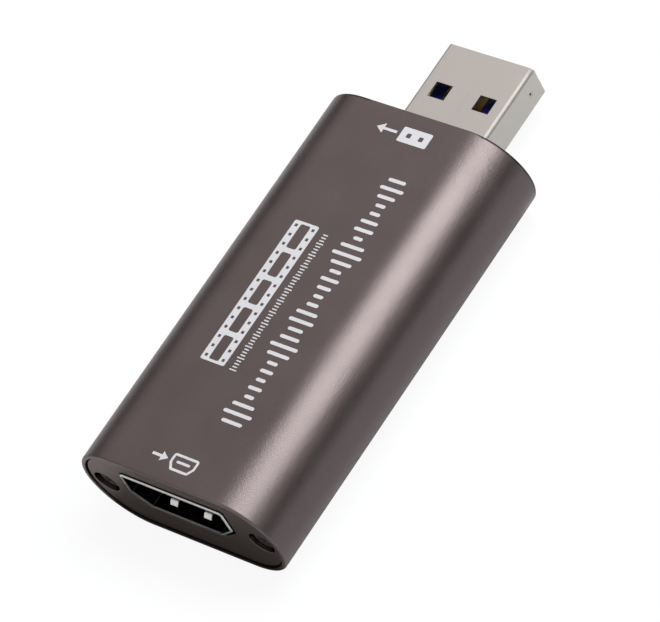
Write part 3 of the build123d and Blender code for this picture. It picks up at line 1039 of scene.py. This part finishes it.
@dataclass
class PlugShell:
    """The plug's rolled shell: one sheet bent round, open along a seam below, with windows and dimples."""

    half_width: float = 6.0 * MM
    corner: float = 0.55 * MM
    corner_steps: int = 8
    wall: float = 0.3 * MM
    seam: float = 0.06 * MM
    window: Pair = (1.95 * MM, 4.25 * MM)
    window_setback: float = 5.15 * MM
    window_length: float = 2.1 * MM
    dimple_radius: float = 0.38 * MM
    dimple_depth: float = 0.1 * MM
    dimple_setback: float = 1.95 * MM
    dimple_margin: float = 1.3
    dimple_steps: int = 14
    punched_share: float = 0.42
    edge_round: float = 0.07 * MM
    edge_segments: int = 3
    ear_length: float = 2.0 * MM
    prong_foot: float = 3.4 * MM

    def around_dimple(self, middle: float) -> np.ndarray:
        """Even stations to both sides of a dimple's middle, a little past its edge."""
        return middle + np.linspace(*span(0, self.dimple_radius * self.dimple_margin), self.dimple_steps + 1)

    def section(self, low_z: float, high_z: float) -> np.ndarray:
        """Half of the bent sheet's section, from the seam to the middle of the top, then its mirror image.

        Its corners are quarter circles: (flat + corner sin t, low + corner (1 - cos t)), and likewise above.

        Args:
            low_z: the sheet's lowest level.
            high_z: its highest.

        Returns:
            The section's (x, z) points in order.
        """
        flat = self.half_width - self.corner
        stations = np.array([self.seam / 2, *self.window, flat])
        rise = np.concatenate([[low_z + self.corner], self.around_dimple((low_z + high_z) / 2),
                               [high_z - self.corner]])
        turn = np.linspace(0, np.pi / 2, self.corner_steps + 1)[1:-1]
        sine, cosine = self.corner * np.sin(turn), self.corner * np.cos(turn)
        below = np.stack([stations, np.full(len(stations), low_z)], axis=1)
        lower = np.stack([flat + sine, low_z + self.corner - cosine], axis=1)
        side = np.stack([np.full(len(rise), self.half_width), rise], axis=1)
        upper = np.stack([flat + cosine, high_z - self.corner + sine], axis=1)
        above = np.stack([np.append(stations[:0:-1], 0), np.full(len(stations), high_z)], axis=1)
        half = np.concatenate([below, lower, side, upper, above])
        return np.concatenate([half, half[-2::-1] * (-1, 1)])

    def sheet(self, low: Vector, high: Vector) -> tuple[np.ndarray, np.ndarray]:
        """The section carried along the plug, with its sides pressed in at the dimples.

        At a share d of the dimple's radius from its middle, a side moves in by depth * sqrt(1 - d^2).

        Args:
            low: the shell's lowest corner.
            high: its highest.

        Returns:
            The points, and which quads are metal: those outside the windows and the dimples' punched middles.
        """
        section = self.section(low.z, high.z)
        window_back, dimple_y = high.y - self.window_setback, high.y - self.dimple_setback
        window_front, mid_z = window_back - self.window_length, (low.z + high.z) / 2
        along = np.concatenate([[low.y, window_front, window_back], self.around_dimple(dimple_y), [high.y]])
        y, x = np.meshgrid(along, section[:, 0])
        z = np.broadcast_to(section[:, 1:], x.shape)
        out = np.hypot(y - dimple_y, z - mid_z) / self.dimple_radius
        on_side = abs(abs(x) - self.half_width) < WELD
        x = x - np.sign(x) * self.dimple_depth * np.sqrt(np.clip(1 - out * out, 0, 1)) * on_side
        points = np.stack([x, y, z], axis=2)
        across, place, level = np.moveaxis((points[:-1, :-1] + points[1:, 1:]) / 2, 2, 0)
        flat = abs(abs(level - mid_z) - (high.z - low.z) / 2) < WELD
        within = (abs(across) > self.window[0]) & (abs(across) < self.window[1])
        reached = (place > window_front) & (place < window_back)
        near = (out[:-1, :-1] + out[1:, 1:]) / 2 < self.punched_share
        punched = near & on_side[:-1, :-1] & on_side[1:, 1:]
        return points, ~(flat & within & reached) & ~punched

    def thicken(self, piece: bpy.types.Object) -> None:
        """Gives the sheet its wall, inwards, and rounds its edges.

        Args:
            piece: the sheet.
        """
        thick = piece.modifiers.new("sheet", "SOLIDIFY")
        thick.thickness = self.wall
        thick.offset = -1
        thick.use_even_offset = True
        edges = piece.modifiers.new("rounded_edges", "BEVEL")
        edges.width = self.edge_round
        edges.segments = self.edge_segments
        edges.limit_method = "ANGLE"
        edges.angle_limit = CREASE
        even_shading(piece)

    def ears(self, low: Vector, high: Vector) -> None:
        """Makes the shell's two ears on the board, each a bent tab with a prong down through the board.

        Args:
            low: the shell's lowest corner.
            high: its highest.
        """
        _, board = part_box("circuit_board")
        ends = span((low.y + board.y) / 2, self.ear_length / 2)
        inner, outer, foot = self.half_width - self.wall, high.x, self.prong_foot
        tab = [(inner, board.z), (outer - self.wall, board.z), (outer - self.wall, foot),
               (outer, foot), (outer, board.z + self.wall), (inner, board.z + self.wall)]
        surface = Surface()
        for side in (-1, 1):
            corners = [(side * x, z) for x, z in tab]
            profile = np.array([(0, end) for end in ends])
            surface.prism([(Outline.plain(corners), profile)], Way.ALONG)
        Look.plug_metal.on(surface.build("plug_shell_ears", "plug_metal"))

    def build(self) -> None:
        """Makes the shell and its ears, and hides the CAD node that they stand for."""
        low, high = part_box("data_plug_shell")
        points, metal = self.sheet(low, high)
        surface = Surface()
        surface.grid(points, wrap=False, keep=metal)
        piece = surface.build(PLUG_SHEET, "plug_metal")
        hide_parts("data_plug_shell")
        Look.plug_metal.on(piece)
        self.thicken(piece)
        self.ears(low, high)


@dataclass
class Mark:
    """A flat white mark on the case's top face, a hair proud of it. Its places run from the input end."""

    name: ClassVar[str]
    case: Case
    thickness: float = 0.015 * MM
    round_steps: int = 6
    surface: Surface = field(default_factory=Surface, init=False)

    def slab(self, outlines: Sequence[tuple[Outline, float]]) -> None:
        """Adds a flat shape, whose two faces lie the thickness below and above the case's top.

        Args:
            outlines: its outer outline and that outline's reach, then those of its holes.
        """
        levels = span(self.case.high.z, self.thickness)
        walls = [(outline, np.array([(reach, level) for level in levels])) for outline, reach in outlines]
        self.surface.prism(walls, Way.UP)

    def box(self, xs: Pair, ys: Pair, corner: float, steps: int = 4) -> tuple[Outline, float]:
        """A rounded box and its outline's reach, as slab takes them.

        Args:
            xs: its sides' places across the case.
            ys: its ends' places along the case.
            corner: the radius of its corners.
            steps: how many steps each corner takes.

        Returns:
            The outline and its reach.
        """
        low, high = (self.case.low.y + y for y in ys)
        corners = [(xs[0], low), (xs[1], low), (xs[1], high), (xs[0], high)]
        return Outline.inside(corners, corner, steps), corner

    def bar(self, xs: Pair, y: float, stroke: float) -> None:
        """Adds a straight stroke across the case at y, with its round ends' middles at xs."""
        ends = [(x, self.case.low.y + y) for x in xs]
        self.slab([(Outline.about(ends, self.round_steps), stroke / 2)])

    def draw(self) -> None:
        """Adds the mark's shapes."""
        raise NotImplementedError

    def build(self) -> None:
        """Makes the mark's piece and inks it."""
        self.draw()
        Look.mark_ink.on(self.surface.build(self.name, "case_anodised"))


@dataclass
class Sign(Mark):
    """A mark with an arrow, whose head is head_slope times as long as its half width."""

    shaft: float = 0.17 * MM
    head: float = 0.62 * MM
    head_slope: float = 1.5

    def arrow(self, xs: Pair, y: float) -> None:
        """Adds a solid arrow across the case.

        Args:
            xs: its tail and its tip.
            y: its place along the case.
        """
        (tail, tip), shaft, head = xs, self.shaft, self.head
        y += self.case.low.y
        neck = tip + math.copysign(self.head_slope * head, tail - tip)
        outline = [(tail, y - shaft), (neck, y - shaft), (neck, y - head), (tip, y),
                   (neck, y + head), (neck, y + shaft), (tail, y + shaft)]
        self.slab([(Outline.plain(outline), 0)])


@dataclass
class SocketSign(Sign):
    """An arrow into the outline of the socket, with its tongue."""

    name: ClassVar[str] = "socket_sign_mark"
    x: float = 1.35 * MM
    ys: Pair = (1.6 * MM, 3.7 * MM)
    half: float = 1.75 * MM
    corner: float = 0.35 * MM
    stroke: float = 0.3 * MM
    floor_share: float = 0.68
    side_share: float = 0.42
    tongue_share: float = 0.45
    tongue_rise: float = 0.1 * MM
    arrow_from: float = 2.6 * MM
    arrow_to: float = 0.4 * MM

    def draw(self) -> None:
        """Adds the outline, the tongue in it and the arrow on its left."""
        x, half = self.x, self.half
        low, high = (self.case.low.y + y for y in self.ys)
        side, floor = low + self.side_share * (high - low), self.floor_share * half
        outline = Outline.inside([(x - floor, low), (x + floor, low), (x + half, side),
                                  (x + half, high), (x - half, high), (x - half, side)], self.corner)
        self.slab([(outline, self.corner), (outline, self.corner - self.stroke)])
        middle = sum(self.ys) / 2 + self.tongue_rise
        self.bar(span(x, self.tongue_share * half), middle, self.stroke)
        self.arrow((x - half - self.arrow_from, x - half - self.arrow_to), middle)


@dataclass
class PlugSign(Sign):
    """The plug's shell with its two windows, and an arrow out of it."""

    name: ClassVar[str] = "plug_sign_mark"
    x: float = 2.1 * MM
    ys: Pair = (47.6 * MM, 49.6 * MM)
    half: float = 2.0 * MM
    corner: float = 0.2 * MM
    window_half: float = 0.3 * MM
    window_share: float = 0.42
    window_steps: int = 2
    head: float = 0.66 * MM
    arrow_from: float = 0.5 * MM
    arrow_to: float = 3.3 * MM

    def draw(self) -> None:
        """Adds the shell with its windows cut out, and the arrow on its left."""
        x, half, middle = self.x, self.half, sum(self.ys) / 2
        shapes = [self.box(span(x, half), self.ys, self.corner)]
        for side in (-1, 1):
            across = span(x + side * self.window_share * half, self.window_half)
            along = span(middle, self.window_half)
            shapes.append(self.box(across, along, self.corner / 3, self.window_steps))
        self.slab(shapes)
        self.arrow((x - half - self.arrow_from, x - half - self.arrow_to), middle)


@dataclass
class FilmStrip(Mark):
    """A bold strip of film: a row of frames between two rows of small holes."""

    name: ClassVar[str] = "film_strip_mark"
    xs: Pair = (-5.1 * MM, -1.7 * MM)
    ys: Pair = (15.0 * MM, 34.5 * MM)
    corner: float = 0.25 * MM
    frames: int = 5
    frame_gap: float = 0.32 * MM
    frame_inset: float = 0.3
    holes: int = 15
    hole_half: float = 0.19 * MM
    hole_inset: float = 0.15
    hole_steps: int = 2

    def draw(self) -> None:
        """Adds the strip with its frames and holes cut out, at even pitches along it."""
        (left, right), (start, end) = self.xs, self.ys
        shapes = [self.box(self.xs, self.ys, self.corner)]
        pitch, inset = (end - start) / self.frames, self.frame_inset * (right - left)
        for step in range(self.frames):
            low = start + pitch * step + self.frame_gap
            along = (low, low + pitch - 2 * self.frame_gap)
            shapes.append(self.box((left + inset, right - inset), along, self.corner))
        pitch, inset = (end - start) / self.holes, self.hole_inset * (right - left)
        half = self.hole_half
        for step in range(self.holes):
            for x in (left + inset, right - inset):
                along = span(start + pitch * (step + 0.5), half)
                shapes.append(self.box(span(x, half), along, half / 3, self.hole_steps))
        self.slab(shapes)


@dataclass
class FineScale(Mark):
    """A fine scale of short ticks, every so many of them longer."""

    name: ClassVar[str] = "fine_scale_mark"
    x: float = -0.4 * MM
    ys: Pair = (15.0 * MM, 33.8 * MM)
    ticks: int = 48
    every: int = 4
    short_half: float = 0.26 * MM
    long_half: float = 0.42 * MM
    stroke: float = 0.15 * MM

    def draw(self) -> None:
        """Adds the ticks, evenly apart."""
        for step, y in enumerate(np.linspace(*self.ys, self.ticks).tolist()):
            half = self.short_half if step % self.every else self.long_half
            self.bar(span(self.x, half), y, self.stroke)


@dataclass
class LevelBars(Mark):
    """A row of round-ended bars whose lengths follow two slow waves, as a sound level does."""

    name: ClassVar[str] = "level_bars_mark"
    x: float = 3.55 * MM
    ys: Pair = (9.2 * MM, 42.8 * MM)
    bars: int = 30
    reach: float = 1.8 * MM
    least: float = 0.22
    waves: Pair = (0.83, 0.31)
    phase: float = 0.6
    stroke: float = 0.44 * MM

    def draw(self) -> None:
        """Adds the bars: half of bar n is reach * (least + (1 - least) * |sin(w n + phase) cos(v n)|)."""
        for step, y in enumerate(np.linspace(*self.ys, self.bars).tolist()):
            swing = abs(math.sin(self.waves[0] * step + self.phase) * math.cos(self.waves[1] * step))
            half = self.reach * (self.least + (1 - self.least) * swing)
            self.bar(span(self.x, half), y, self.stroke)


@dataclass
class VideoSocket:
    """The video socket: its shell, tongue block, contacts and four spring leaves keep their CAD shapes."""

    floor_half: float = 5.0 * MM
    height: float = 5.4 * MM
    side_height: float = 3.5 * MM
    plate_gap: float = 0.12 * MM
    lower_gap: float = 0.45 * MM
    corner: float = 0.45 * MM
    wall: float = 0.25 * MM
    lip_round: float = 0.16 * MM
    lip_proud: float = 0.05 * MM
    lip_depth: float = 0.3 * MM

    def lip(self) -> None:
        """Makes a thin rolled lip over the shell's front edge: a closed profile carried round it."""
        low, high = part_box("video_socket_shell")
        front, out = low.y - self.lip_proud, self.corner + self.lip_proud
        inner = self.corner - self.wall
        back = low.y + self.lip_depth
        floor, side = high.z - self.height, high.z - self.side_height
        shell = Outline.inside([(-self.floor_half, floor), (self.floor_half, floor), (high.x, side),
                                (high.x, high.z), (-high.x, high.z), (-high.x, side)], self.corner)
        profile = bent([(self.corner, back), (out, back), (out, front), (inner, front), (inner, low.y),
                        (self.corner, low.y), (self.corner, back)], [0, 0, self.lip_round, 0, 0, 0, 0])
        surface = Surface()
        surface.grid(shell.carried(profile, Way.ALONG))
        piece = surface.build("video_socket_lip", "socket_metal")
        Look.socket_metal.on(piece)
        even_shading(piece)

    def opening(self) -> Outline:
        """The plate's opening round the shell: flat above, with two slanted lower corners.

        Returns:
            The opening's outline.
        """
        _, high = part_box("video_socket_shell")
        half = high.x + self.plate_gap
        floor_half = self.floor_half + self.lower_gap
        top, bottom = high.z + self.plate_gap, high.z - self.height - self.plate_gap
        side = high.z - self.side_height - self.lower_gap
        return Outline.inside([(-floor_half, bottom), (floor_half, bottom), (half, side),
                               (half, top), (-half, top), (-half, side)], self.corner)

    def build(self) -> None:
        """Makes the lip and dresses the socket's nodes."""
        self.lip()
        dress(Look.socket_metal, "video_socket_shell")
        dress(Look.socket_plastic, "video_socket_block")
        dress(Look.contact_gold, "video_socket_upper_contacts", "video_socket_lower_contacts")
        dress(Look.spring_metal, *(f"socket_spring_{row}_{side}" for row in ("lower", "upper")
                                   for side in ("left", "right")))


@dataclass
class DataPlug:
    """The data plug: a rolled shell round a moulded block with gold contacts."""

    plate_gap: float = 0.15 * MM
    shell: PlugShell = field(default_factory=PlugShell)

    def opening(self) -> Outline:
        """The plate's opening round the shell: a rounded box.

        Returns:
            The opening's outline.
        """
        low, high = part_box("data_plug_shell")
        half = self.shell.half_width + self.plate_gap
        bottom, top = low.z - self.plate_gap, high.z + self.plate_gap
        return Outline.inside([(-half, bottom), (half, bottom), (half, top), (-half, top)], self.reach)

    @property
    def reach(self) -> float:
        """The opening's corner radius."""
        return self.shell.corner + self.plate_gap

    def build(self) -> None:
        """Makes the shell and dresses what is in it."""
        self.shell.build()
        dress(Look.plug_plastic, "data_plug_insulator")
        dress(Look.contact_gold, "data_plug_main_contacts", "data_plug_rear_contacts")


@dataclass
class Board:
    """The circuit board and what is soldered to it, which keep their CAD shapes."""

    looks: tuple[tuple[Look, tuple[str, ...]], ...] = (
        (Look.board_laminate, ("circuit_board",)),
        (Look.chip_plastic, ("video_processor", "video_receiver", "firmware_memory", "voltage_regulators",
                             "surge_protectors")),
        (Look.crystal_can, ("clock_crystals",)),
        (Look.inductor_ferrite, ("power_inductors",)),
        (Look.capacitor_ceramic, ("tank_capacitors", "small_capacitors")),
        (Look.resistor_film, ("small_resistors",)),
        (Look.pad_silicone, ("thermal_pad",)),
    )

    def build(self) -> None:
        """Dresses every node on the board."""
        for look, nodes in self.looks:
            dress(look, *nodes)


class Reach(Enum):
    """What a lamp lights: everything, everything but the plug's sheet, or that sheet alone."""

    ALL = None
    ALL_BUT_PLUG = "EXCLUDE"
    PLUG_ALONE = "INCLUDE"


@dataclass(frozen=True)
class Lamp:
    """A soft rectangular lamp that faces the object."""

    name: str
    place: Triple
    size: Pair
    power: float
    colour: Triple = (1.0, 1.0, 1.0)
    in_gloss: bool = True
    reach: Reach = Reach.ALL

    def hang(self, target: Vector) -> None:
        """Puts the lamp at its place, with its first side across the object.

        Args:
            target: the point that it faces.
        """
        back = (Vector(self.place) - target).normalized()
        up = back.cross(Vector((1, 0, 0))).normalized()
        light = bpy.data.lights.new(self.name, "AREA")
        light.shape = "RECTANGLE"
        light.size, light.size_y = self.size
        light.energy = self.power
        light.color = self.colour
        holder = bpy.data.objects.new(self.name, light)
        holder.location = self.place
        holder.visible_glossy = self.in_gloss
        holder.rotation_euler = Matrix((up.cross(back), up, back)).transposed().to_euler()
        bpy.context.scene.collection.objects.link(holder)
        if self.reach is not Reach.ALL:
            group = bpy.data.collections.new(self.name)
            group.objects.link(bpy.data.objects[PLUG_SHEET])
            group.collection_objects[0].light_linking.link_state = self.reach.value
            holder.light_linking.receiver_collection = group


@dataclass
class Studio:
    """A pale floor, soft lamps, a white surround and the photograph's camera."""

    camera_place: Triple = (0.292225, -0.179045, 0.386042)
    camera_turn: Triple = (37.3899, 20.3562, 34.4852)
    focal_length: float = 253.896
    sensor_width: float = 36.0
    clip_start: float = 0.01
    floor_half: float = 3.0
    floor_drop: float = 0.03 * MM
    floor_shade: float = 0.93
    floor_veil: float = 0.92
    floor_gloss_veil: float = 0.0
    surround_shade: float = 0.27
    card_distance: float = 0.45
    card_foot: float = 0.001
    card_height: float = 0.16
    card_steps: int = 12
    card_spread: float = math.radians(50)
    card_shade: float = 0.12
    lamps: tuple[Lamp, ...] = (
        Lamp("overhead_strip", (0.16, 0.187, 0.4485), (0.41, 0.155), 2.4, (0.92, 1.0, 1.03),
             reach=Reach.ALL_BUT_PLUG),
        Lamp("overhead_plug_strip", (0.16, 0.187, 0.4485), (0.41, 0.155), 0.95, (0.92, 1.0, 1.03),
             reach=Reach.PLUG_ALONE),
        Lamp("overhead_fill", (0.158, 0.1656, 0.4485), (0.36, 0.3), 0.75, (0.95, 1.0, 1.02), in_gloss=False),
        Lamp("overhead_spill", (-0.06, 0.17, 0.46), (0.3, 0.3), 0.08),
        Lamp("rear_left_strip", (-0.172, 0.19, 0.235), (0.2, 0.1), 0.03),
        Lamp("front_left_fill", (-0.35, -0.4, 0.22), (0.3, 0.3), 0.04),
    )

    def white_share(self, recipe: Recipe, direct: float, mirrored: float) -> Channel:
        """How far a surface shows as plain white.

        Args:
            recipe: the recipe that it is for.
            direct: how far to the camera.
            mirrored: how far in gloss and through glass.

        Returns:
            The share for each ray.
        """
        path = recipe.node("ShaderNodeLightPath").outputs
        seen, gloss, glass = (Channel(recipe, path[kind])
                              for kind in ("Is Camera Ray", "Is Glossy Ray", "Is Transmission Ray"))
        return seen * direct + (gloss + glass) * mirrored

    def surround(self) -> None:
        """A world that lights the object softly and shows white to the camera and in reflections."""
        world = bpy.data.worlds.new("surround")
        bpy.context.scene.world = world
        recipe = Recipe(world)
        grey = (self.surround_shade,) * 3
        colour = recipe.mix(self.white_share(recipe, 1, 1), grey, (1, 1, 1))
        shader = recipe.node("ShaderNodeBackground", inputs={"Color": colour})
        recipe.node("ShaderNodeOutputWorld", inputs={"Surface": shader.outputs[0]})

    def staged(self, name: str, surface: Surface, shade: float, direct: float = 0,
               mirrored: float = 0) -> bpy.types.Object:
        """Makes a matt grey thing of the studio.

        Args:
            name: its name.
            surface: its faces.
            shade: how pale its paint is.
            direct: how far it shows as plain white to the camera.
            mirrored: how far it shows as plain white in gloss.

        Returns:
            Its object.
        """
        thing = surface.object(name)
        paint = bpy.data.materials.new(name)
        recipe = Recipe(paint)
        matt = recipe.node("ShaderNodeBsdfDiffuse", inputs={"Color": (shade, shade, shade, 1)})
        white = recipe.node("ShaderNodeEmission")
        veil = self.white_share(recipe, direct, mirrored)
        shaders = {0: veil, 1: matt.outputs[0], 2: white.outputs[0]}
        blend = recipe.node("ShaderNodeMixShader", inputs=shaders)
        recipe.node("ShaderNodeOutputMaterial", inputs={"Surface": blend.outputs[0]})
        thing.data.materials.append(paint)
        return thing

    def floor(self) -> None:
        """A wide pale floor, a hair below the case, that keeps the object's shadow."""
        half, low = self.floor_half, -self.floor_drop
        corners = [(-half, -half, low), (half, -half, low), (half, half, low), (-half, half, low)]
        surface = Surface()
        surface.fill([np.array(corners)])
        self.staged("floor", surface, self.floor_shade, self.floor_veil, self.floor_gloss_veil)

    def dark_cards(self) -> None:
        """Low dark cards to both sides, seen in gloss alone, which give the round sides their darker band.

        Each is an upright arc: (distance cos t, distance sin t) at its foot and its top.
        """
        surface = Surface()
        angle = np.linspace(*span(0, self.card_spread), self.card_steps + 1)[:, None]
        height = np.array([[self.card_foot, self.card_height]])
        for side in (-1, 1):
            reach = side * self.card_distance
            card = np.broadcast_arrays(reach * np.cos(angle), reach * np.sin(angle), height)
            surface.grid(np.stack(card, axis=2), wrap=False)
        cards = self.staged("dark_cards", surface, self.card_shade)
        cards.visible_camera = cards.visible_shadow = cards.visible_transmission = False

    def camera(self) -> None:
        """The photograph's camera, on its measured place."""
        data = bpy.data.cameras.new("camera")
        data.lens = self.focal_length
        data.sensor_width = self.sensor_width
        data.sensor_fit = "HORIZONTAL"
        data.clip_start = self.clip_start
        camera = bpy.data.objects.new("camera", data)
        camera.location = self.camera_place
        camera.rotation_euler = [math.radians(angle) for angle in self.camera_turn]
        bpy.context.scene.collection.objects.link(camera)
        bpy.context.scene.camera = camera

    def build(self) -> None:
        """Sets up the whole studio."""
        bpy.context.scene.view_settings.view_transform = "Standard"
        self.camera()
        self.surround()
        self.floor()
        self.dark_cards()
        for lamp in self.lamps:
            lamp.hang(middle_of("case_tube"))


def main() -> None:
    """Builds every sub-assembly, in the order in which they would be put together, and then the studio."""
    logging.basicConfig(level=logging.INFO, format="%(name)s %(message)s")
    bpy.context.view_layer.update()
    case = Case()
    socket = VideoSocket()
    plug = DataPlug()
    case.build()
    Board().build()
    socket.build()
    plug.build()
    EndPlate(case, "input_end_plate", socket.opening(), socket.corner).build()
    EndPlate(case, "output_end_plate", plug.opening(), plug.reach).build()
    for node in ("input_plate_screws", "output_plate_screws"):
        PlateScrews(case, node).build()
    for mark in (SocketSign, PlugSign, FilmStrip, FineScale, LevelBars):
        mark(case).build()
    Studio().build()


if __name__ == "__main__":
    main()
